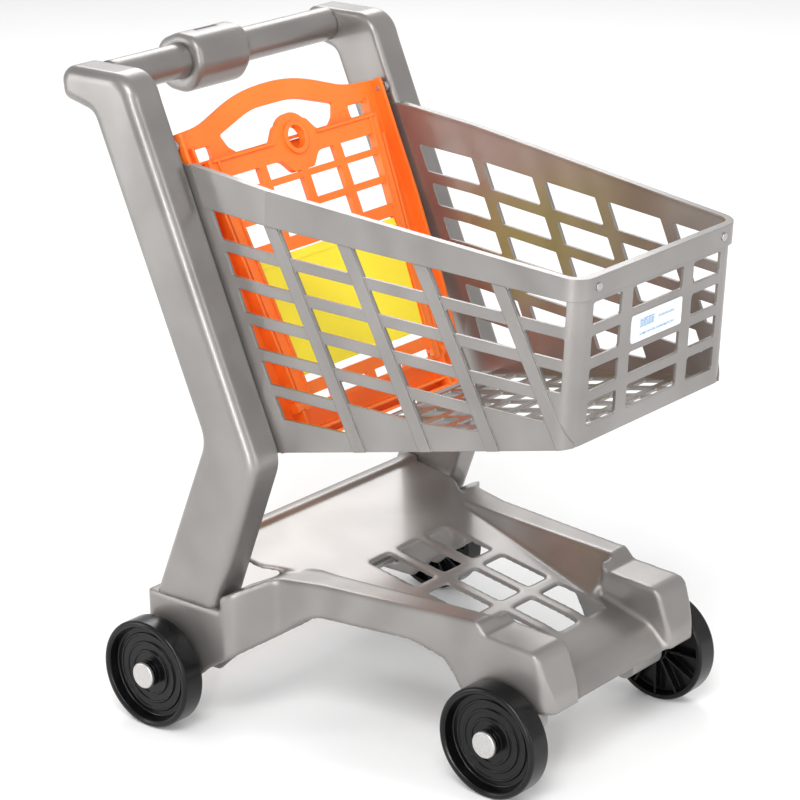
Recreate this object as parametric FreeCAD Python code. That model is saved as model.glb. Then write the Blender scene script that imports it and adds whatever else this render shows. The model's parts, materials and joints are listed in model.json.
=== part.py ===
import FreeCAD, Part
import math
import os

os.makedirs("parts", exist_ok=True)

V = FreeCAD.Vector

# Toy shopping cart. Millimetres, +Z up, +X towards the nose, mirror plane Y = 0.
# Heights are above the ground; X is measured from CENTRE_X, the middle of the length.

CENTRE_X = 69.3

# wheels and axles
WHEEL_R = 45.0
WHEEL_W = 21.0
REAR_AXLE_X = -64.0
FRONT_AXLE_X = 227.0
REAR_TRACK = 381.0
FRONT_TRACK = 245.0
AXLE_R = 4.0
RUNNING_CLEARANCE = 0.05
HUB_R = 11.5
CAP_R = 10.8
CAP_OUT = 2.4
SPOKES = 12

# uprights and handle
BASKET_Y = 127.5
UPRIGHT_IN_Y = BASKET_Y
UPRIGHT_W = 33.0
UPRIGHT_OUT_Y = UPRIGHT_IN_Y + UPRIGHT_W
FOOT_TOP_Z = 104.0
KNEE_Z = 244.0
UPRIGHT_ROUND = 9.0
HANDLE_X = -134.5
HANDLE_Z = 509.2
HANDLE_R = 14.0
SPIGOT_R = HANDLE_R - 6.0
SPIGOT_REACH = 16.0
GRIP_LENGTH = 62.0
GRIP_MID_Y = -19.0

# basket
WALL = 2.6
REAR_X = -65.0
REAR_Z = 464.0
TAPER_FROM_X = 10.0
TAPER = 0.1
NOSE_X = 288.7
NOSE_Z = 303.0
NOSE_LEAN = 0.066
CORNER_R = 15.0
RIM_TOP_Z = 448.2
RIM_TOP_FALL = 0.107
RIM_LOW_Z = 419.5
RIM_LOW_FALL = 0.067
RIM_OUT = 2.4
RIM_SCREW_Y = 80.0
RIM_SCREW_R = 1.6
FLOOR_Z = 230.0
FLOOR_RISE = 0.202
FLOOR_REAR_X = 54.5
BAND = 15.0
RIB_PITCH = 64.7
RIB_FIRST_X = 35.4
RIB_LEAN = 0.462
RIB_W = 12.5
RIB_OUT = 1.3
SLAT_T = 8.6
SLAT_FIRST_Z = 397.6
SLAT_PITCH = 26.4

# gate and child seat; depths run forward from the pivot plane, slopes run up it
LEAN = 0.42
PIVOT_X = -70.5
PIVOT_Z = 464.0
GATE_HALF = UPRIGHT_IN_Y - 6.5
GATE_BACK = -10.5
GATE_FRONT = -6.5
GATE_RIM = 5.0
GATE_PIN_R = 2.0
SEAT_HALF = GATE_HALF - 20.0
SEAT_TAPER = 0.08
SEAT_RAIL = 10.5
SEAT_T = 5.0
SEAT_TOP_S = -18.6
SEAT_PIVOT_S = -222.0
RING_S = -19.5
FLAP_PIVOT_S = -111.0
SEAT_PIN_W = 2.5
SEAT_PIN_R = 1.5

# base tray
TRAY_WALL = 3.0
RAIL_TOP_Z = 129.0
HOUSING_TOP_Z = 118.5
HOUSING_X = 205.0
SKIRT_X = 268.0
SKIRT_Z = 69.0
HOUSING_IN_Y = 60.0
HOUSING_OUT_Y = 98.5
TRAY_FLOOR_Z = 135.0
TRAY_FALL = 0.175


def save(name, shape):
    shape = shape.removeSplitter() if shape.ShapeType != "Compound" else shape
    shape.translate(V(-CENTRE_X, 0, 0))
    shape.exportStep("parts/" + name + ".step")


def fuse(shapes):
    whole = shapes[0]
    if len(shapes) > 1:
        whole = whole.multiFuse(shapes[1:])
    return whole.removeSplitter()


def mirror(shape):
    return shape.mirror(V(0, 0, 0), V(0, 1, 0))


def both(shape):
    return [shape, mirror(shape)]


def rounded(points, place):
    """Closed wire through (a, b, radius) corners, each corner replaced by an arc."""
    count = len(points)
    ends = []
    for i in range(count):
        a, b, r = points[i]
        here = V(a, b, 0)
        before = V(points[i - 1][0], points[i - 1][1], 0) - here
        after = V(points[(i + 1) % count][0], points[(i + 1) % count][1], 0) - here
        if r <= 0:
            ends.append((here, None, here))
            continue
        half = before.getAngle(after) / 2
        reach = r / math.tan(half)
        start = here + before.normalize() * reach
        stop = here + after.normalize() * reach
        bisector = (before + after).normalize()
        centre = here + bisector * (r / math.sin(half))
        ends.append((start, centre - bisector * r, stop))
    edges = []
    for i in range(count):
        start, middle, stop = ends[i]
        if middle is not None:
            edges.append(Part.Arc(place(start), place(middle), place(stop)).toShape())
        following = ends[(i + 1) % count][0]
        if stop.distanceToPoint(following) > 1e-4:
            edges.append(Part.makeLine(place(stop), place(following)))
    return Part.Wire(edges)


def side_plate(points, y0, y1):
    """Outline in X and Z, carried from y0 to y1."""
    wire = rounded(points, lambda p: V(p.x, y0, p.y))
    return Part.Face(wire).extrude(V(0, y1 - y0, 0))


def plan_block(points, z0, z1):
    """Outline in X and Y, carried from z0 to z1."""
    wire = rounded(points, lambda p: V(p.x, p.y, z0))
    return Part.Face(wire).extrude(V(0, 0, z1 - z0))


def cross_plate(points, x0, x1):
    """Outline in Y and Z, carried from x0 to x1."""
    wire = rounded(points, lambda p: V(x0, p.x, p.y))
    return Part.Face(wire).extrude(V(x1 - x0, 0, 0))


def rect(a0, a1, b0, b1, r=0.0):
    return [(a0, b0, r), (a1, b0, r), (a1, b1, r), (a0, b1, r)]


def rod(x, z, radius, y0, y1):
    return Part.makeCylinder(radius, y1 - y0, V(x, y0, z), V(0, 1, 0))


def round_edges(shape, radius, wanted):
    edges = [edge for edge in shape.Edges if wanted(edge)]
    return shape.makeFillet(radius, edges) if edges else shape


# ---------------------------------------------------------------- wheels

def wheel_section():
    """Half section of a wheel: radius across, depth from the outer face inwards."""
    bore = AXLE_R + RUNNING_CLEARANCE
    return [
        (bore, 3.0, 0), (HUB_R - 1, 3.0, 0), (HUB_R - 1, 7.0, 0), (17.0, 7.0, 0.6),
        (17.0, 6.0, 0.4), (19.0, 6.0, 0.4), (19.0, 7.6, 0.4), (24.0, 7.6, 0.4), (24.0, 6.6, 0.4),
        (26.0, 6.6, 0.4), (26.0, 8.2, 0.4), (31.0, 8.2, 0.4), (31.0, 7.2, 0.4),
        (33.0, 7.2, 0.4), (33.0, 8.8, 0.4), (37.5, 8.8, 1.0), (39.5, 1.2, 0.8),
        (41.0, 0.0, 1.0), (WHEEL_R, 0.0, 2.6), (WHEEL_R, WHEEL_W, 2.2), (40.5, WHEEL_W, 0.8),
        (39.5, 12.4, 1.0), (HUB_R, 12.4, 1.0), (HUB_R, WHEEL_W, 0.8), (bore, WHEEL_W, 0),
    ]


def make_wheel(axle_x, track, side):
    """One wheel with its outer face at half the track, on the side -1 or +1."""
    outer = track / 2
    place = lambda p: V(axle_x + p.x, outer - p.y, WHEEL_R)
    face = Part.Face(rounded(wheel_section(), place))
    body = face.revolve(V(axle_x, 0, WHEEL_R), V(0, 1, 0), 360)
    rib = Part.makeBox(29.5, 7.6, 2.0, V(axle_x + HUB_R - 0.6, outer - WHEEL_W + 1.4, WHEEL_R - 1))
    ribs = []
    for i in range(SPOKES):
        spoke = rib.copy()
        spoke.rotate(V(axle_x, 0, WHEEL_R), V(0, 1, 0), i * 360.0 / SPOKES)
        ribs.append(spoke)
    body = fuse([body] + ribs)
    return body if side > 0 else mirror(body)


def make_axle(axle_x, track):
    half = track / 2 - 1.0
    return rod(axle_x, WHEEL_R, AXLE_R, -half, half)


def make_cap(axle_x, track, side):
    """Domed press-on cap that covers the end of an axle."""
    outer = track / 2 + CAP_OUT
    base = track / 2 - 2.4
    cap = rod(axle_x, WHEEL_R, CAP_R, base + 2.0, outer)
    rim = cap.Edges
    far = [e for e in rim if abs(e.CenterOfMass.y - outer) < 1e-3 and e.Length > 10]
    cap = cap.makeFillet(1.3, far)
    sleeve = rod(axle_x, WHEEL_R, 6.2, base, base + 2.4)
    cap = cap.fuse(sleeve).cut(rod(axle_x, WHEEL_R, AXLE_R, base - 1, track / 2 - 1.0))
    return cap if side > 0 else mirror(cap)


# ---------------------------------------------------------------- uprights and handle

def upright_outline():
    lean = math.tan(math.radians(23.0))
    back_knee_x = -20.5
    front_knee_x = 34.5
    arm_z = 489.0
    return [
        (-79.0, FOOT_TOP_Z, 0), (back_knee_x, KNEE_Z, 26),
        (back_knee_x - (arm_z - KNEE_Z) * lean, arm_z, 13),
        (HANDLE_X - 21.5, HANDLE_Z - 12.7, 9), (HANDLE_X - 24.5, HANDLE_Z + 13.3, 12),
        (HANDLE_X + 48.5, HANDLE_Z + 13.3, 24),
        (front_knee_x - (498.0 - 232.0) * lean * 0.985, 498.0, 20),
        (front_knee_x, 232.0, 30), (-15.0, FOOT_TOP_Z, 0),
    ]


def make_upright(side):
    body = side_plate(upright_outline(), UPRIGHT_IN_Y, UPRIGHT_OUT_Y)

    def on_outer(edge):
        flat = edge.BoundBox.YLength < 1e-3
        return flat and edge.BoundBox.YMax > UPRIGHT_OUT_Y - 1e-3 and edge.BoundBox.ZMax > FOOT_TOP_Z + 1

    def on_inner(edge):
        flat = edge.BoundBox.YLength < 1e-3
        return flat and edge.BoundBox.YMin < UPRIGHT_IN_Y + 1e-3 and edge.BoundBox.ZMax > FOOT_TOP_Z + 1

    body = round_edges(body, UPRIGHT_ROUND, on_outer)
    body = round_edges(body, 4.0, on_inner)
    tenon = plan_block(rect(-70, -25, UPRIGHT_IN_Y + 7, UPRIGHT_OUT_Y - 7, 5), 86, FOOT_TOP_Z + 4)
    pocket = rod(PIVOT_X, PIVOT_Z, 4.6, UPRIGHT_IN_Y - 1, UPRIGHT_IN_Y + 8)
    socket = rod(HANDLE_X, HANDLE_Z, SPIGOT_R, UPRIGHT_IN_Y - 1, UPRIGHT_IN_Y + SPIGOT_REACH + 2)
    body = fuse([body, tenon]).cut(pocket.fuse(socket))
    return body if side > 0 else mirror(body)


def make_handle():
    """Tube between the uprights with a spigot that enters each of them."""
    bar = rod(HANDLE_X, HANDLE_Z, HANDLE_R, -UPRIGHT_IN_Y, UPRIGHT_IN_Y)
    reach = UPRIGHT_IN_Y + SPIGOT_REACH
    spigots = rod(HANDLE_X, HANDLE_Z, SPIGOT_R, -reach, reach)
    return fuse([bar, spigots]).cut(rod(HANDLE_X, HANDLE_Z, SPIGOT_R - 3.0, -reach - 5, reach + 5))


def make_grip():
    """Wider block that clips over the bar, with a coin slot in its front."""
    y0 = GRIP_MID_Y - GRIP_LENGTH / 2
    y1 = GRIP_MID_Y + GRIP_LENGTH / 2
    around = [(-24, -24, 18), (-27, 12, 16), (-4, 22, 20), (19, 20, 16), (24, -5, 24), (10, -27, 20)]
    shell = side_plate([(HANDLE_X + a, HANDLE_Z + b, r) for a, b, r in around], y0, y1)
    ends = lambda e: e.BoundBox.YLength < 1e-3
    shell = round_edges(shell, 5.0, ends)
    slot = plan_block(rect(HANDLE_X - 1.5, HANDLE_X + 1.5, GRIP_MID_Y - 13, GRIP_MID_Y + 13, 1.2),
                      HANDLE_Z + 17, HANDLE_Z + 30)
    return shell.cut(rod(HANDLE_X, HANDLE_Z, HANDLE_R, y0 - 1, y1 + 1)).cut(slot)


# ---------------------------------------------------------------- basket

def rim_top(x):
    return RIM_TOP_Z - RIM_TOP_FALL * x


def rim_low(x):
    return RIM_LOW_Z - RIM_LOW_FALL * x


def floor_z(x):
    return FLOOR_Z + FLOOR_RISE * x


def rear_x(z):
    """X of the slanted line that the rear edges of the basket follow, at height z."""
    return REAR_X - LEAN * (z - REAR_Z)


def nose_x(z):
    """X of the front wall at height z."""
    return NOSE_X + NOSE_LEAN * (z - NOSE_Z)


def basket_prism(out):
    """Basket outline moved outwards by out, carried up along the leaning nose."""
    z0 = FLOOR_Z - 40.0
    z1 = RIM_TOP_Z + 30.0
    nose = nose_x(z0) + out
    half = BASKET_Y + out
    tip = half - TAPER * (nose - TAPER_FROM_X)
    r = CORNER_R + out
    corners = [(-130, half, 0), (TAPER_FROM_X, half, 0), (nose, tip, r),
               (nose, -tip, r), (TAPER_FROM_X, -half, 0), (-130, -half, 0)]
    wire = rounded(corners, lambda p: V(p.x, p.y, z0))
    return Part.Face(wire).extrude(V(NOSE_LEAN * (z1 - z0), 0, z1 - z0))


def rib_x(index, z):
    """Front edge of a slanted rib at height z."""
    return RIB_FIRST_X + RIB_PITCH * index - RIB_LEAN * (z - rim_low(RIB_FIRST_X))


def slat_top(index, x):
    left = SLAT_FIRST_Z - SLAT_PITCH * index
    return left - (0.062 - 0.0045 * index) * x


def between(x0_line, x1_line, low_line, high_line, r=2.0):
    """Four-sided opening bounded by two slanted edges and two nearly level ones."""
    corners = []
    for side_line, level in ((x0_line, low_line), (x1_line, low_line),
                             (x1_line, high_line), (x0_line, high_line)):
        x = side_line(300.0)
        for _ in range(8):
            x = side_line(level(x))
        corners.append((x, level(x)))
    return [(x, z, r) for x, z in corners]


def side_openings():
    """Openings of one side wall: five slanted columns of long holes."""
    cutters = []
    band_top = lambda x: floor_z(x) + BAND
    for column in range(5):
        if column == 0:
            left = lambda z: rear_x(z) + 15.0
        else:
            left = lambda z, c=column: rib_x(c - 1, z)
        if column < 4:
            right = lambda z, c=column: rib_x(c, z) - RIB_W
        else:
            right = lambda z: nose_x(z) - 10.0
        for row in range(7):
            high = (lambda x: rim_low(x) - 0.5) if row == 0 else (
                lambda x, k=row: slat_top(k - 1, x) - SLAT_T)
            low = lambda x, k=row: max(slat_top(k, x), band_top(x))
            middle = 0.5 * (left(340) + right(340))
            if high(middle) - band_top(middle) < 6.0:
                continue
            corners = between(left, right, low, high, 1.6)
            tall = min(corners[3][1] - corners[0][1], corners[2][1] - corners[1][1])
            wide = corners[1][0] - corners[0][0]
            if tall < 9.0 or wide < 6.0:
                continue
            cutters.append(side_plate(corners, 60, 160))
    return cutters


def nose_openings():
    """Three columns of rounded holes in the front wall."""
    cutters = []
    columns = ((-81.5, -45.5), (-32.5, 32.5), (45.5, 81.5))
    for y0, y1 in columns:
        for row in range(4):
            high = 396.0 - row * 25.3
            low = high - (18.5 if row == 3 else 17.3)
            cutters.append(cross_plate(rect(y0, y1, low, high, 2.5), 270, 320))
    return cutters


def floor_openings():
    """Grid of holes in the basket floor."""
    cutters = []
    for i in range(8):
        x0 = FLOOR_REAR_X + 3.0 + i * 27.5
        reach = BASKET_Y - TAPER * (x0 + 24 - TAPER_FROM_X) - 14
        count = 8
        pitch = 2 * reach / count
        for j in range(count):
            y0 = -reach + j * pitch
            cutters.append(plan_block(rect(x0, x0 + 20.0, y0 + 2.5, y0 + pitch - 2.5, 2), 200, 320))
    return cutters


def basket_side_view(top, grow=0.0):
    """Side silhouette of the basket between its floor line and the line called top."""
    rear_low = rear_x(232.0) - 20.0
    rear_high = rear_x(450.0) - 20.0
    return [(rear_low, floor_z(rear_low) - grow, 0), (330.0, floor_z(330.0) - grow, 0),
            (330.0, top(330.0), 0), (rear_high, top(rear_high), 0)]


def basket_ribs():
    """Slanted raised ribs on the outside of both side walls."""
    skin = basket_prism(RIB_OUT).cut(basket_prism(-0.5))
    view = side_plate(basket_side_view(lambda x: rim_low(x) - 0.4), 88, 140)
    ribs = []
    for index in range(4):
        x_top = rib_x(index, 440.0) - 0.5
        x_low = rib_x(index, 225.0) - 0.5
        bar = side_plate([(x_low - RIB_W + 1, 225.0, 0), (x_low, 225.0, 0),
                          (x_top, 440.0, 0), (x_top - RIB_W + 1, 440.0, 0)], 94, 140)
        ribs += both(skin.common(bar).common(view))
    return ribs


def make_basket():
    wall_top = lambda x: rim_top(x) - 2.2
    shell = basket_prism(0.0).cut(basket_prism(-WALL))
    walls = shell.common(side_plate(basket_side_view(wall_top), -200, 200))
    rear = FLOOR_REAR_X
    plate = [(rear, floor_z(rear), 0), (330.0, floor_z(330.0), 0),
             (330.0, floor_z(330.0) + WALL, 0), (rear, floor_z(rear) + WALL, 0)]
    floor = basket_prism(-0.6).common(side_plate(plate, -200, 200)).cut(floor_openings())
    cutters = nose_openings()
    for cutter in side_openings():
        cutters += both(cutter)
    for cutter in cutters:
        walls = walls.cut(cutter)
    basket = fuse([walls, floor] + basket_ribs())
    basket = basket.cut([rod(x, z, 2.0, -140, 140) for x, z in basket_screw_places()])
    return basket.cut(rim_screw_holes())


def basket_screw_places():
    """Screw centres where each side wall meets the uprights."""
    return [(rear_x(z) - 12.0, z) for z in (424.0, 330.0)] + [(rear_x(258.0) - 12.0, 258.0)]


def make_rim():
    """Cap band round the sides and front of the basket."""
    rear = lambda z: rear_x(z) + 9.0
    view = [(rear(421.0), rim_low(rear(421.0)), 0), (330.0, rim_low(330.0), 0),
            (330.0, rim_top(330.0), 0), (rear(452.0), rim_top(rear(452.0)), 0)]
    inner = [(rear(421.0) - 5, rim_low(rear(421.0)) - 5, 0), (340.0, rim_low(340.0) - 5, 0),
             (340.0, rim_top(340.0) - 2.2, 0), (rear(452.0) - 5, rim_top(rear(452.0) - 5) - 2.2, 0)]
    solid = basket_prism(RIM_OUT).common(side_plate(view, -200, 200))
    solid = solid.cut(basket_prism(0.0).common(side_plate(inner, -200, 200)))
    band = solid.cut(basket_prism(-WALL - 1.2))
    return band.cut(rim_screw_holes())


def rim_screw_rod(y, radius, start, length):
    """Rod square to the nose; start is measured outwards from the face of the rim."""
    z = 0.5 * (rim_low(296.0) + rim_top(296.0))
    out = V(1, 0, -NOSE_LEAN).normalize()
    face = V(nose_x(z) + RIM_OUT, y, z)
    return Part.makeCylinder(radius, length, face + out * start, out)


def rim_screw_holes():
    return [rim_screw_rod(y, RIM_SCREW_R, -4.0, 8.0) for y in (-RIM_SCREW_Y, RIM_SCREW_Y)]


def make_rim_screw(side):
    head = rim_screw_rod(side * RIM_SCREW_Y, 2 * RIM_SCREW_R, 0.0, 1.0)
    shank = rim_screw_rod(side * RIM_SCREW_Y, RIM_SCREW_R, -3.9, 3.9)
    return head.fuse(shank).removeSplitter()


def make_label():
    """Plain plate that fills the second hole of the middle column of the nose."""
    plate = cross_plate(rect(-32.0, 32.0, 351.5, 373.0, 2.0), 290, 310)
    shell = basket_prism(0.9).cut(basket_prism(-WALL * 0.4))
    plate = plate.common(shell)
    hole = cross_plate(rect(-40.0, 40.0, 345.0, 380.0, 0), 280, 320)
    solid = make_nose_solid().common(hole)
    return plate.cut(solid)


def make_nose_solid():
    wall = basket_prism(0.0).cut(basket_prism(-WALL))
    return wall.cut(nose_openings())


# ---------------------------------------------------------------- gate and seat

def lean(shape):
    """Turn a piece built upright at the pivot into the leaning plane of the gate."""
    shape = shape.copy()
    shape.rotate(V(0, 0, 0), V(0, 1, 0), -math.degrees(math.atan(LEAN)))
    shape.translate(V(PIVOT_X, 0, PIVOT_Z))
    return shape


def pin(depth, s, radius, y0, y1):
    return Part.makeCylinder(radius, y1 - y0, V(depth, y0, s), V(0, 1, 0))


def seat_half(s):
    """Half width of the seat back at slope s; it narrows downwards."""
    return SEAT_HALF + SEAT_TAPER * (s - SEAT_TOP_S)


def window_half(s):
    """Half width of the gate's window, a little more than the seat back."""
    return seat_half(s) + 1.8


def strip(edge, s0, s1, width, w0, w1):
    """Upright strip whose inner edge follows the function edge from s0 up to s1."""
    points = [(edge(s0), s0, 0), (edge(s0) + width, s0, 0), (edge(s1) + width, s1, 0), (edge(s1), s1, 0)]
    return cross_plate(points, w0, w1)


def gate_side(inset):
    """Corners down one side of the gate, moved inwards by inset."""
    half = GATE_HALF - inset
    return [(half, -90, 0), (half - 4, -174, 60), (half - 10, -222, 40), (half - 11, -252, 1)]


def gate_plate():
    """Flat sheet of the gate with its arched top, hand hole and windows."""
    right = [(30, 29.6, 165), (86, 10.6, 80), (GATE_HALF, 8.5, 3)] + gate_side(0.0)
    outline = right + [(-y, s, r) for y, s, r in reversed(right)]
    sheet = cross_plate(outline, GATE_BACK, GATE_FRONT)
    hole = [(26, 12.3, 90), (68.5, -1, 2), (63.5, -11.5, 8), (52, -20.5, 3)]
    hole += [(-y, s, r) for y, s, r in reversed(hole)]
    top, low = -34.0, -225.5
    window = [(window_half(low), low, 2), (window_half(top), top, 2),
              (-window_half(top), top, 2), (-window_half(low), low, 2)]
    cuts = [cross_plate(hole, -20, 10), cross_plate(window, -20, 10)]
    cuts += both(cross_plate(rect(83, 104, -17, -6.5, 2), -20, 10))
    return sheet.cut(cuts)


def make_gate():
    outer = [(GATE_HALF, 8.5, 1)] + gate_side(0.0)
    inner = [(GATE_HALF - 3, 8.5, 1)] + gate_side(3.0)
    flange = cross_plate(outer + inner[::-1], GATE_BACK, GATE_RIM)
    low_ridge = strip(window_half, -38, -5, 2.4, GATE_BACK, -2.0)
    high_ridge = strip(window_half, -250, -36, 2.4, GATE_BACK, GATE_RIM)
    eye = pin(SEAT_PIN_W, SEAT_PIVOT_S, 4.5, window_half(SEAT_PIVOT_S), window_half(SEAT_PIVOT_S) + 8)
    pieces = [gate_plate()]
    for s0, s1 in ((-244.7, -242.3), (-252.0, -249.6), (-19.6, -17.2)):
        half = window_half(s0) + (12 if s0 < -200 else 1)
        pieces.append(cross_plate(rect(-half, half, s0, s1), GATE_BACK, GATE_RIM - 7 if s0 > -200 else 3.0))
    for piece in (flange, low_ridge, high_ridge, eye):
        pieces += both(piece)
    gate = fuse(pieces)
    hinge = pin(0, 0, GATE_PIN_R + RUNNING_CLEARANCE, GATE_HALF - 12, GATE_HALF + 5)
    seat_hole = pin(SEAT_PIN_W, SEAT_PIVOT_S, SEAT_PIN_R, seat_half(SEAT_PIVOT_S), window_half(SEAT_PIVOT_S) + 7)
    return lean(gate.cut(both(hinge) + both(seat_hole)))


def seat_bars():
    """Upright and level bars that divide the upper part of the seat back."""
    bars = []
    for y in (-45.0, 0.0, 45.0):
        bars.append(cross_plate(rect(y - 4.2, y + 4.2, -98, -30), 0, SEAT_T))
        bars.append(cross_plate(rect(y - 4.0, y + 4.0, -224, -212), 0, SEAT_T))
    for s0, s1 in ((-52, -46.5), (-76, -70), (-104, -93.5), (-216, -206), (-226, -223)):
        half = seat_half(s0) - 4
        bars.append(cross_plate(rect(-half, half, s0, s1), 0, SEAT_T))
    return bars


def seat_top():
    """Top bar of the seat back, swelling round the finger ring."""
    half = seat_half(-34.5) - 0.5
    right = [(18, -6, 8), (28, SEAT_TOP_S, 10), (half, SEAT_TOP_S, 3), (half, -34.5, 0),
             (22, -34.5, 10), (12, -46, 6)]
    return cross_plate(right + [(-y, s, r) for y, s, r in reversed(right)], 0, SEAT_T)


def make_seat_back():
    rail_edge = lambda s: seat_half(s) - SEAT_RAIL
    rail = strip(rail_edge, -226, SEAT_TOP_S, SEAT_RAIL, 0, SEAT_T)
    ridge = strip(rail_edge, -224, -20, 2.2, 0, SEAT_T + 2.0)
    lip = cross_plate(rect(26, seat_half(-21) - 4, -21, SEAT_TOP_S), 0, SEAT_T + 2.0)
    boss = Part.makeCylinder(20.5, SEAT_T, V(0, 0, RING_S), V(1, 0, 0))
    collar = Part.makeCylinder(13.5, SEAT_T + 2.5, V(0, 0, RING_S), V(1, 0, 0))
    seat = fuse(both(rail) + both(ridge) + both(lip) + seat_bars() + [seat_top(), boss, collar])
    ring_hole = Part.makeCylinder(9.5, 20, V(-5, 0, RING_S), V(1, 0, 0))
    inner = rail_edge(SEAT_PIVOT_S) - 2
    pivots = pin(SEAT_PIN_W, SEAT_PIVOT_S, SEAT_PIN_R + RUNNING_CLEARANCE, inner, inner + 20)
    inner = rail_edge(FLAP_PIVOT_S) - 2
    flap_holes = pin(SEAT_PIN_W, FLAP_PIVOT_S, SEAT_PIN_R, inner, inner + 20)
    return lean(seat.cut([ring_hole] + both(pivots) + both(flap_holes)))


def make_flap():
    """Shallow tray that fills the lower window and swings back about its top edge."""
    edge = lambda s: seat_half(s) - SEAT_RAIL - 1.2
    top, low = -105.2, -200.0
    sheet = cross_plate([(edge(low), low, 3), (edge(top), top, 2), (-edge(top), top, 2),
                         (-edge(low), low, 3)], 1.0, SEAT_T)
    deep = cross_plate([(edge(low) - 3, low + 3, 2), (edge(-117) - 3, -117, 2), (3 - edge(-117), -117, 2),
                        (3 - edge(low), low + 3, 2)], -2, SEAT_T - 2.0)
    half = edge(FLAP_PIVOT_S)
    roll = pin(SEAT_PIN_W, FLAP_PIVOT_S, 3.2, -half, half)
    bore = pin(SEAT_PIN_W, FLAP_PIVOT_S, SEAT_PIN_R + RUNNING_CLEARANCE, -half - 1, half + 1)
    return lean(fuse([sheet, roll]).cut([deep, bore]))


def make_flap_pin():
    reach = seat_half(FLAP_PIVOT_S) - 2.0
    return lean(pin(SEAT_PIN_W, FLAP_PIVOT_S, SEAT_PIN_R, -reach, reach))


def make_gate_pin(side):
    """Peg fixed in the upright; the gate turns on it."""
    peg = pin(0, 0, GATE_PIN_R, GATE_HALF - 3.5, UPRIGHT_IN_Y + 8)
    collar = pin(0, 0, 4.6, UPRIGHT_IN_Y - 3.0, UPRIGHT_IN_Y + 8)
    peg = lean(fuse([peg, collar]))
    return peg if side > 0 else mirror(peg)


def make_seat_pin(side):
    inner = seat_half(SEAT_PIVOT_S) - SEAT_RAIL + 1.0
    peg = lean(pin(SEAT_PIN_W, SEAT_PIVOT_S, SEAT_PIN_R, inner, window_half(SEAT_PIVOT_S) + 7))
    return peg if side > 0 else mirror(peg)


# ---------------------------------------------------------------- base tray

def tray_floor_z(x):
    return TRAY_FLOOR_Z - TRAY_FALL * x


def rail_plan(z0):
    """Plan outline of one rail with its rear foot and front housing."""
    corners = [
        (-88, 122, 3), (-88, UPRIGHT_OUT_Y, 6), (2, UPRIGHT_OUT_Y, 14), (26, 129, 16), (62, 117.5, 40),
        (194, HOUSING_OUT_Y, 30), (SKIRT_X + 3, HOUSING_OUT_Y, 14), (SKIRT_X + 3, HOUSING_IN_Y, 5),
        (HOUSING_X, HOUSING_IN_Y, 12), (40, 92, 40), (2, 122, 20)]
    return rounded(corners, lambda p: V(p.x, p.y, z0))


def rail_view(y0):
    """Side outline of a rail: foot, arch between the wheels, housing and step."""
    corners = [
        (-88, 72, 12), (-85, 31, 8), (-44, 31, 10), (-22, 51, 10), (30, 84, 30), (52, 101.5, 30),
        (142, 101.5, 40), (172, 92, 20), (186, SKIRT_Z, 4), (SKIRT_X + 3, SKIRT_Z, 2),
        (SKIRT_X + 1, 82, 20), (257, 117, 10), (HOUSING_X + 3, HOUSING_TOP_Z + 2, 0),
        (HOUSING_X - 4, RAIL_TOP_Z, 6), (22, RAIL_TOP_Z + 1, 20), (-8, FOOT_TOP_Z + 12, 4),
        (-8, FOOT_TOP_Z, 0), (-88, FOOT_TOP_Z, 3)]
    return rounded(corners, lambda p: V(p.x, y0, p.y))


def rail_solid(inset):
    """Solid rail, or its cavity open below when inset is the wall thickness."""
    plan = Part.Face(rail_plan(20.0))
    view = Part.Face(rail_view(40.0))
    if inset > 0:
        plan = Part.Face(rail_plan(20.0).makeOffset2D(-inset))
        view = Part.Face(rail_view(40.0).makeOffset2D(-inset))
    plan = plan.extrude(V(0, 0, 140))
    view = view.extrude(V(0, 140, 0))
    if inset > 0:
        lower = view.copy()
        lower.translate(V(0, 0, -4 * inset))
        view = view.fuse(lower)
    return plan.common(view)


def tray_rail(side):
    """One hollow rail with its foot and front housing, open underneath."""
    rail = rail_solid(0.0).cut(rail_solid(TRAY_WALL))
    rail = rail.cut(ramp(40.0)).fuse(ramp(-TRAY_WALL))
    return rail if side > 0 else mirror(rail)


def ramp(depth):
    """Sloping triangle between the top of a rail and the floor, carried to the given depth."""
    far = HOUSING_X - 3.0
    start = V(30, 93.5, RAIL_TOP_Z)
    top = V(far, HOUSING_IN_Y + 18.0, RAIL_TOP_Z)
    toe = V(far, HOUSING_IN_Y - 9.5, tray_floor_z(far) - 1)
    face = Part.Face(Part.makePolygon([start, top, toe, start]))
    upward = (top - start).cross(toe - start).normalize()
    if upward.z < 0:
        upward = upward * -1.0
    return face.extrude(upward * depth)


def tray_slots():
    cutters = []
    for x0, x1 in ((54, 100), (113, 157), (170.5, 214)):
        for y in (-36.5, 0.0, 36.5):
            cutters.append(plan_block(rect(x0, x1, y - 11.7, y + 11.7, 1.5), 80, 150))
    return cutters


def tray_floor():
    """Sloping floor that turns down into the front skirt."""
    t = TRAY_WALL
    rear = -40.0
    path = [(rear, tray_floor_z(rear) - t, 0), (200, tray_floor_z(200) - t, 38 - t),
            (250 - t, 84, 24 - t), (SKIRT_X - t, SKIRT_Z, 0), (SKIRT_X, SKIRT_Z, 0), (250.5, 86, 24),
            (204, tray_floor_z(204), 38), (rear, tray_floor_z(rear), 0)]
    half = [(rear, 123.5, 4), (4, 123.5, 10), (42, 93.5, 10), (HOUSING_X, HOUSING_IN_Y + 1.5, 0),
            (SKIRT_X + 1, HOUSING_IN_Y + 1.5, 0)]
    plan = half + [(x, -y, r) for x, y, r in reversed(half)]
    return side_plate(path, -130, 130).common(plan_block(plan, 20, 160))


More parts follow.
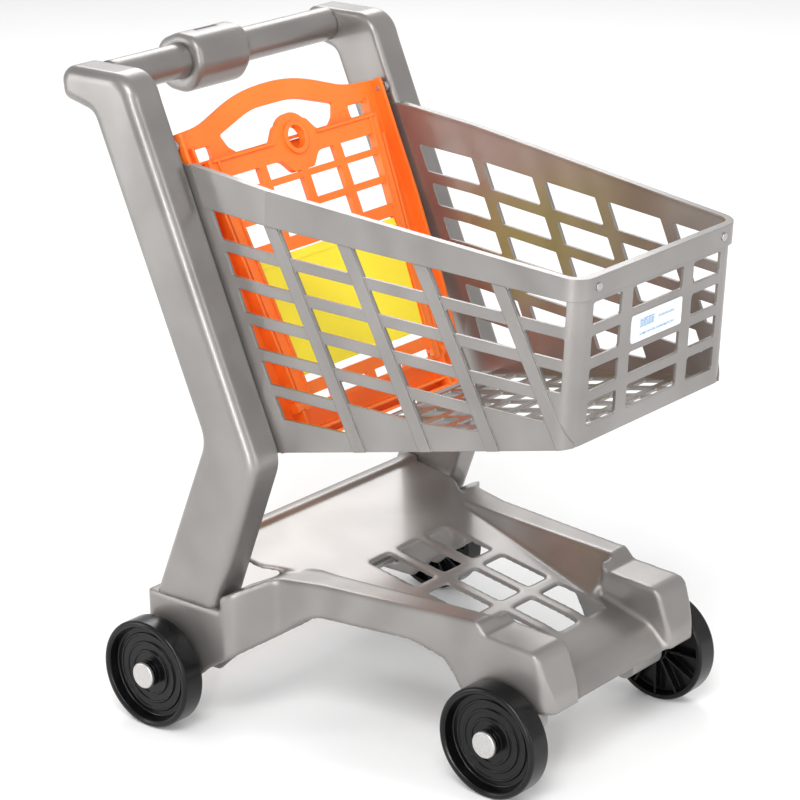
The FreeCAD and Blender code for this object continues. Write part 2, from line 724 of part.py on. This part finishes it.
def make_tray():
    lip = side_plate([(-55, 116, 2), (-39, 116, 2), (-39, 145, 3), (-52, 145, 3)],
                     -UPRIGHT_IN_Y + 0.5, UPRIGHT_IN_Y - 0.5)
    tray = fuse([tray_rail(1), tray_rail(-1), tray_floor(), lip])
    legs = both(side_plate(upright_outline(), UPRIGHT_IN_Y, UPRIGHT_OUT_Y))
    tenons = both(plan_block(rect(-70, -25, UPRIGHT_IN_Y + 7, UPRIGHT_OUT_Y - 7, 5), 86, 150))
    pads = []
    for y0 in (UPRIGHT_IN_Y + 1, UPRIGHT_OUT_Y - 12):
        pads += both(side_plate(rect(-80, -48, 33, 101.5, 6), y0, y0 + 6))
    tray = fuse([tray] + pads)
    cuts = tray_slots() + legs + tenons + [rod(REAR_AXLE_X, WHEEL_R, AXLE_R, -170, 170)]
    return tray.cut(cuts)


def make_front_mount(side):
    """Bearer under a front housing that carries the front axle."""
    y0 = HOUSING_IN_Y + 5
    y1 = HOUSING_OUT_Y - 4
    x = FRONT_AXLE_X
    boss = rod(x, WHEEL_R, 10.5, y0 - 8, y1 + 2)
    web = side_plate([(x - 10.5, WHEEL_R, 0), (x + 10.5, WHEEL_R, 0), (x + 16, 104, 0),
                      (x - 16, 104, 0)], y0, y1)
    body = fuse([boss, web]).cut(rod(x, WHEEL_R, AXLE_R, 0, 170))
    return body if side > 0 else mirror(body)


# ---------------------------------------------------------------- small hardware

def make_basket_screw(x, z, side):
    y0 = BASKET_Y - WALL
    head = rod(x, z, 4.0, y0 - 1.6, y0)
    shank = rod(x, z, 2.0, y0, y0 + WALL)
    screw = fuse([head, shank])
    return screw if side > 0 else mirror(screw)


save("base_tray", make_tray())
for label, side in (("left", 1), ("right", -1)):
    save("upright_" + label, make_upright(side))
    save("gate_pin_" + label, make_gate_pin(side))
    save("seat_pin_" + label, make_seat_pin(side))
    save("front_axle_mount_" + label, make_front_mount(side))
    save("wheel_rear_" + label, make_wheel(REAR_AXLE_X, REAR_TRACK, side))
    save("wheel_front_" + label, make_wheel(FRONT_AXLE_X, FRONT_TRACK, side))
    save("cap_rear_" + label, make_cap(REAR_AXLE_X, REAR_TRACK, side))
    save("cap_front_" + label, make_cap(FRONT_AXLE_X, FRONT_TRACK, side))
    save("rim_screw_" + label, make_rim_screw(side))
    screws = [make_basket_screw(x, z, side) for x, z in basket_screw_places()]
    save("basket_screws_" + label, Part.makeCompound(screws))
save("axle_rear", make_axle(REAR_AXLE_X, REAR_TRACK))
save("axle_front", make_axle(FRONT_AXLE_X, FRONT_TRACK))
save("handle_bar", make_handle())
save("grip_block", make_grip())
save("basket", make_basket())
save("basket_rim", make_rim())
save("label_plate", make_label())
save("rear_gate", make_gate())
save("seat_back", make_seat_back())
save("seat_flap", make_flap())
save("flap_pin", make_flap_pin())
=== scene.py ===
import json
import math

import bpy
from mathutils import Euler, Matrix, Vector


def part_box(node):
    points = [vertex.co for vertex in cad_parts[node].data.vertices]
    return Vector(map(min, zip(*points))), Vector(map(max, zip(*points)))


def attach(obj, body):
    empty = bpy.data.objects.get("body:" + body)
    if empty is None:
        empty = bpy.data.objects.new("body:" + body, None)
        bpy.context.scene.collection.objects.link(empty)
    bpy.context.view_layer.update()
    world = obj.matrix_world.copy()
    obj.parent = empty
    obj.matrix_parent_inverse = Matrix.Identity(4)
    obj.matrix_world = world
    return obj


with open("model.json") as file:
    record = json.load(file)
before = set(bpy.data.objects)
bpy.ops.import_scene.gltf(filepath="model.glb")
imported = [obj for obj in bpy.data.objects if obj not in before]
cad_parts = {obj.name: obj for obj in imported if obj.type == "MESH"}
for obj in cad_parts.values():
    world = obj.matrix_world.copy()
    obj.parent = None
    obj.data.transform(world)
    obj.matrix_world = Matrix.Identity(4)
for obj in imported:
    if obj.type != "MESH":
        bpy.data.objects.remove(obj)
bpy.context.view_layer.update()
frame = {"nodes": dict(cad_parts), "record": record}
nodes = frame["nodes"]

# Colours, as linear light.
SILVER = (0.285, 0.270, 0.259)
SILVER_DARK = (0.222, 0.208, 0.198)
GREY = (0.30, 0.29, 0.28)
ORANGE = (0.98, 0.205, 0.022)
ORANGE_DEEP = (0.93, 0.165, 0.016)
YELLOW = (0.97, 0.80, 0.040)
YELLOW_DEEP = (0.95, 0.74, 0.032)
BLACK = (0.0022, 0.0022, 0.0025)
BLACK_WORN = (0.0060, 0.0060, 0.0065)
CAP_METAL = (0.62, 0.61, 0.59)
STEEL = (0.50, 0.50, 0.50)
LABEL_WHITE = (0.80, 0.82, 0.85)
PRINT_BLUE = (0.10, 0.24, 0.42)
FLOOR_PALE = (0.97, 0.97, 0.97)
FLOOR_SHADE = (0.95, 0.95, 0.95)
SKY_WHITE = (1.0, 1.0, 1.0, 1.0)

# Edges: the radius in metres that the shading of each kind of edge is rounded to.
EDGE_ROUND = 0.0010
SOFT_ROUND = 0.0055
EDGE_SAMPLES = 6
SOFT_NODES = ("base_tray", "upright_left", "upright_right", "grip_block", "handle_bar")

# The moulded tray's skin.
TRAY_VOXEL = 0.0014
TRAY_MELT = 8
TRAY_MELT_FACTOR = 0.5
TRAY_KEPT_FACES = 0.35

# Plain bars on the label: the y range, then the z range about the plate's middle, in metres.
NOSE_LEAN = 0.066
MARK_DEPTH = 0.0003
LABEL_MARKS = {
    "label_mark_block": (-0.022, -0.004, -0.0005, 0.0065),
    "label_mark_line": (-0.022, 0.022, -0.0065, -0.0045),
    "label_mark_short": (0.001, 0.022, 0.0020, 0.0040),
}

# Stage: each light's place, its width and height in metres, and its watts.
FLOOR_REACH = 6.0
LIGHT_TARGET = (0.0, 0.0, 0.25)
LIGHTS = {
    "key": ((1.1, -1.7, 2.4), (1.2, 0.9), 40),
    "strip": ((1.25, -2.05, 0.75), (0.12, 1.5), 24),
    "nose": ((2.4, 0.3, 0.9), (0.3, 1.6), 14),
    "back": ((-1.6, 1.8, 1.9), (1.4, 1.0), 20),
    "low_left": ((-1.6, -1.6, 0.6), (0.25, 1.4), 9),
}
SKY_STRENGTH = 0.72

# Camera: lens in millimetres, place in metres, angles in degrees.
CAMERA_LENS = 128.3
CAMERA_PLACE = (1.3532, -1.6550, 0.9986)
CAMERA_DIP = 19.23
CAMERA_TURN = 39.73
CAMERA_ROLL = -0.82
CAMERA_FAR = 20.0


# ---------------------------------------------------------------- materials

def shade(colour, factor):
    """The same colour, darker."""
    return tuple(channel * factor for channel in colour)


class Recipe:
    """A node material under construction."""

    def __init__(self, name):
        self.material = bpy.data.materials.new(name)
        self.material.use_nodes = True
        self.tree = self.material.node_tree
        self.shader = self.tree.nodes["Principled BSDF"]

    def node(self, kind, **inputs):
        made = self.tree.nodes.new(kind)
        for key, value in inputs.items():
            made.inputs[key.replace("_", " ")].default_value = value
        return made

    def link(self, source, target):
        self.tree.links.new(source, target)

    def set(self, **inputs):
        for key, value in inputs.items():
            self.shader.inputs[key.replace("_", " ")].default_value = value

    def place(self, stretch=(1.0, 1.0, 1.0)):
        """Object coordinates in metres, stretched along each axis."""
        coordinates = self.node("ShaderNodeTexCoord")
        mapping = self.node("ShaderNodeMapping")
        mapping.inputs["Scale"].default_value = stretch
        self.link(coordinates.outputs["Object"], mapping.inputs["Vector"])
        return mapping.outputs["Vector"]

    def noise(self, where, scale, detail=3.0, rough=0.5):
        made = self.node("ShaderNodeTexNoise", Scale=scale, Detail=detail, Roughness=rough)
        self.link(where, made.inputs["Vector"])
        return made.outputs["Fac"]

    def waves(self, where, scale, distortion, detail):
        made = self.node("ShaderNodeTexWave", Scale=scale, Distortion=distortion, Detail=detail)
        self.link(where, made.inputs["Vector"])
        return made.outputs["Fac"]

    def ramp(self, value, low, high):
        """Colour that runs from one stop, a position and a colour, to the other."""
        made = self.node("ShaderNodeValToRGB")
        self.link(value, made.inputs["Fac"])
        for element, (position, colour) in zip(made.color_ramp.elements, (low, high)):
            element.position = position
            element.color = (*colour, 1.0)
        return made.outputs["Color"]

    def spread(self, value, low, high):
        made = self.node("ShaderNodeMapRange", To_Min=low, To_Max=high)
        self.link(value, made.inputs["Value"])
        return made.outputs["Result"]

    def total(self, first, second, weight):
        """First plus a weighted second."""
        made = self.node("ShaderNodeMath")
        made.operation = "MULTIPLY_ADD"
        self.link(second, made.inputs[0])
        made.inputs[1].default_value = weight
        self.link(first, made.inputs[2])
        return made.outputs["Value"]

    def bump(self, height, strength, distance, edge_round=EDGE_ROUND):
        """Fine relief over edges whose shading is rounded by edge_round metres."""
        soft = self.node("ShaderNodeBevel", Radius=edge_round)
        soft.samples = EDGE_SAMPLES
        made = self.node("ShaderNodeBump", Strength=strength, Distance=distance)
        self.link(soft.outputs["Normal"], made.inputs["Normal"])
        self.link(height, made.inputs["Height"])
        self.link(made.outputs["Normal"], self.shader.inputs["Normal"])

    def colour(self, source):
        self.link(source, self.shader.inputs["Base Color"])

    def roughness(self, source):
        self.link(source, self.shader.inputs["Roughness"])


def silver_plastic(name, edge_round):
    """Pearly silver-grey moulded plastic with faint flow marks."""
    r = Recipe(name)
    place = r.place()
    cloud = r.noise(place, scale=9.0, detail=4.0, rough=0.55)
    swirl = r.waves(place, scale=5.0, distortion=14.0, detail=3.0)
    pearl = r.noise(place, scale=1400.0, detail=2.0, rough=0.7)
    r.colour(r.ramp(r.total(cloud, swirl, 0.22), (0.36, SILVER_DARK), (0.78, SILVER)))
    r.roughness(r.spread(r.total(cloud, pearl, 0.35), 0.26, 0.42))
    r.bump(r.total(swirl, pearl, 0.12), 0.12, 0.0006, edge_round)
    r.set(Metallic=0.70, Specular_IOR_Level=0.5, Coat_Weight=0.40, Coat_Roughness=0.15)
    return r.material


def grey_plastic():
    """Plain darker grey plastic."""
    r = Recipe("grey_plastic")
    place = r.place()
    cloud = r.noise(place, scale=30.0)
    r.colour(r.ramp(cloud, (0.3, shade(GREY, 0.9)), (0.7, GREY)))
    r.roughness(r.spread(cloud, 0.34, 0.46))
    r.bump(r.noise(place, scale=900.0), 0.06, 0.0004)
    r.set(Metallic=0.1, Specular_IOR_Level=0.5)
    return r.material


def toy_plastic(name, light, deep, low, high):
    """Solid coloured toy plastic: cloudy colour, fine surface, roughness from low to high."""
    r = Recipe(name)
    place = r.place()
    cloud = r.noise(place, scale=14.0, detail=3.0, rough=0.5)
    grain = r.noise(place, scale=1100.0, detail=2.0, rough=0.6)
    r.colour(r.ramp(cloud, (0.30, deep), (0.68, light)))
    r.roughness(r.spread(r.total(cloud, grain, 0.4), low, high))
    r.bump(r.total(cloud, grain, 0.2), 0.08, 0.0005)
    r.set(Specular_IOR_Level=0.5, Subsurface_Weight=0.06, Subsurface_Scale=0.004)
    return r.material


def black_plastic():
    """Glossy black wheel plastic with a little dust and a fine grain."""
    r = Recipe("black_plastic")
    place = r.place()
    dust = r.noise(place, scale=60.0, detail=5.0, rough=0.6)
    grain = r.noise(place, scale=1300.0, detail=2.0, rough=0.6)
    r.colour(r.ramp(dust, (0.45, BLACK), (0.80, BLACK_WORN)))
    r.roughness(r.spread(r.total(dust, grain, 0.3), 0.14, 0.30))
    r.bump(grain, 0.05, 0.0003)
    r.set(Specular_IOR_Level=0.30)
    return r.material


def metal(name, colour, low, high, scale):
    """Brushed metal: fine scratches along y, roughness from low to high."""
    r = Recipe(name)
    scratches = r.noise(r.place((1.0, 0.06, 1.0)), scale, detail=4.0, rough=0.7)
    r.colour(r.ramp(scratches, (0.35, shade(colour, 0.78)), (0.7, colour)))
    r.roughness(r.spread(scratches, low, high))
    r.bump(scratches, 0.12, 0.0003)
    r.set(Metallic=0.85)
    return r.material


def label_white():
    """White label stock with a fine paper grain."""
    r = Recipe("label_white")
    paper = r.noise(r.place(), scale=240.0, detail=3.0, rough=0.6)
    r.colour(r.ramp(paper, (0.35, shade(LABEL_WHITE, 0.955)), (0.65, LABEL_WHITE)))
    r.roughness(r.spread(paper, 0.22, 0.34))
    r.bump(paper, 0.05, 0.0003)
    r.set(Specular_IOR_Level=0.5, Coat_Weight=0.3, Coat_Roughness=0.1)
    return r.material


def label_print():
    """Worn printing ink for the plain marks on the label."""
    r = Recipe("label_print")
    ink = r.noise(r.place(), scale=900.0, detail=3.0, rough=0.6)
    faded = tuple(0.7 + 0.3 * channel for channel in PRINT_BLUE)
    r.colour(r.ramp(ink, (0.35, PRINT_BLUE), (0.75, faded)))
    r.roughness(r.spread(ink, 0.30, 0.50))
    r.set(Specular_IOR_Level=0.4)
    return r.material


def floor_paper():
    """Matt pale backdrop."""
    r = Recipe("floor_paper")
    cloud = r.noise(r.place(), scale=3.0)
    r.colour(r.ramp(cloud, (0.3, FLOOR_SHADE), (0.7, FLOOR_PALE)))
    r.set(Roughness=0.85, Specular_IOR_Level=0.2)
    return r.material


def make_materials():
    return {
        "silver_plastic": silver_plastic("silver_plastic", EDGE_ROUND),
        "silver_soft": silver_plastic("silver_soft", SOFT_ROUND),
        "grey_plastic": grey_plastic(),
        "black_plastic": black_plastic(),
        "orange_plastic": toy_plastic("orange_plastic", ORANGE, ORANGE_DEEP, 0.28, 0.42),
        "yellow_plastic": toy_plastic("yellow_plastic", YELLOW, YELLOW_DEEP, 0.26, 0.40),
        "cap_metal": metal("cap_metal", CAP_METAL, 0.28, 0.46, scale=700.0),
        "steel": metal("steel", STEEL, 0.22, 0.38, scale=500.0),
        "white_label": label_white(),
        "label_print": label_print(),
    }


# ---------------------------------------------------------------- the cart

def dress_nodes(materials):
    """Give every CAD node the procedural material of its slot."""
    for part in frame["record"]["subparts"]:
        node = nodes[part["node"]]
        slot = "silver_soft" if part["node"] in SOFT_NODES else part["material_slot"]
        node.data.materials.clear()
        node.data.materials.append(materials[slot])


def add_label_mark(name, y0, y1, z0, z1, material):
    """Thin printed bar on the leaning face of the label plate."""
    low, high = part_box("label_plate")
    middle_z = (low.z + high.z) / 2
    corners = []
    for out in (-MARK_DEPTH / 2, MARK_DEPTH / 2):
        for y, z in ((y0, z0), (y1, z0), (y1, z1), (y0, z1)):
            height = middle_z + z
            corners.append((high.x - NOSE_LEAN * (high.z - height) + out, y, height))
    faces = [(3, 2, 1, 0), (4, 5, 6, 7)]
    faces += [(i, (i + 1) % 4, (i + 1) % 4 + 4, i + 4) for i in range(4)]
    mesh = bpy.data.meshes.new(name)
    mesh.from_pydata(corners, [], faces)
    mark = bpy.data.objects.new(name, mesh)
    bpy.context.collection.objects.link(mark)
    mark.data.materials.append(material)
    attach(mark, "frame")


def add_label_marks(material):
    """Plain bars in place of the printing on the label."""
    for name, spans in LABEL_MARKS.items():
        add_label_mark(name, *spans, material)


def soften_tray():
    """Melt the hard edges of the tray the way a moulding rounds them."""
    tray = nodes["base_tray"]
    skin = tray.modifiers.new("skin", "REMESH")
    skin.mode = "VOXEL"
    skin.voxel_size = TRAY_VOXEL
    skin.use_smooth_shade = True
    melt = tray.modifiers.new("melt", "SMOOTH")
    melt.factor = TRAY_MELT_FACTOR
    melt.iterations = TRAY_MELT
    thin = tray.modifiers.new("thin", "DECIMATE")
    thin.ratio = TRAY_KEPT_FACES


# ---------------------------------------------------------------- stage

def add_floor():
    r = FLOOR_REACH
    mesh = bpy.data.meshes.new("floor")
    mesh.from_pydata([(-r, -r, 0), (r, -r, 0), (r, r, 0), (-r, r, 0)], [], [(0, 1, 2, 3)])
    floor = bpy.data.objects.new("floor", mesh)
    bpy.context.collection.objects.link(floor)
    floor.data.materials.append(floor_paper())


def add_light(name, place, size, watts):
    """Rectangular soft light that faces the middle of the cart."""
    data = bpy.data.lights.new(name, "AREA")
    data.shape = "RECTANGLE"
    data.size, data.size_y = size
    data.energy = watts
    light = bpy.data.objects.new(name, data)
    light.location = place
    toward = Vector(LIGHT_TARGET) - Vector(place)
    light.rotation_euler = toward.to_track_quat("-Z", "Y").to_euler()
    bpy.context.collection.objects.link(light)


def add_sky():
    """Even white light from all around."""
    world = bpy.data.worlds.new("studio")
    world.use_nodes = True
    background = world.node_tree.nodes["Background"]
    background.inputs["Color"].default_value = SKY_WHITE
    background.inputs["Strength"].default_value = SKY_STRENGTH
    bpy.context.scene.world = world


def add_camera():
    data = bpy.data.cameras.new("camera")
    data.lens = CAMERA_LENS
    data.clip_end = CAMERA_FAR
    camera = bpy.data.objects.new("camera", data)
    camera.location = CAMERA_PLACE
    aim = Euler((math.radians(90 - CAMERA_DIP), 0, math.radians(CAMERA_TURN))).to_matrix()
    roll = Matrix.Rotation(math.radians(CAMERA_ROLL), 3, "Z")
    camera.rotation_euler = (aim @ roll).to_euler()
    bpy.context.collection.objects.link(camera)
    bpy.context.scene.camera = camera


materials = make_materials()
dress_nodes(materials)
soften_tray()
add_label_marks(materials["label_print"])
add_floor()
for light_name, settings in LIGHTS.items():
    add_light(light_name, *settings)
add_sky()
add_camera()
bpy.context.scene.view_settings.view_transform = "Standard"
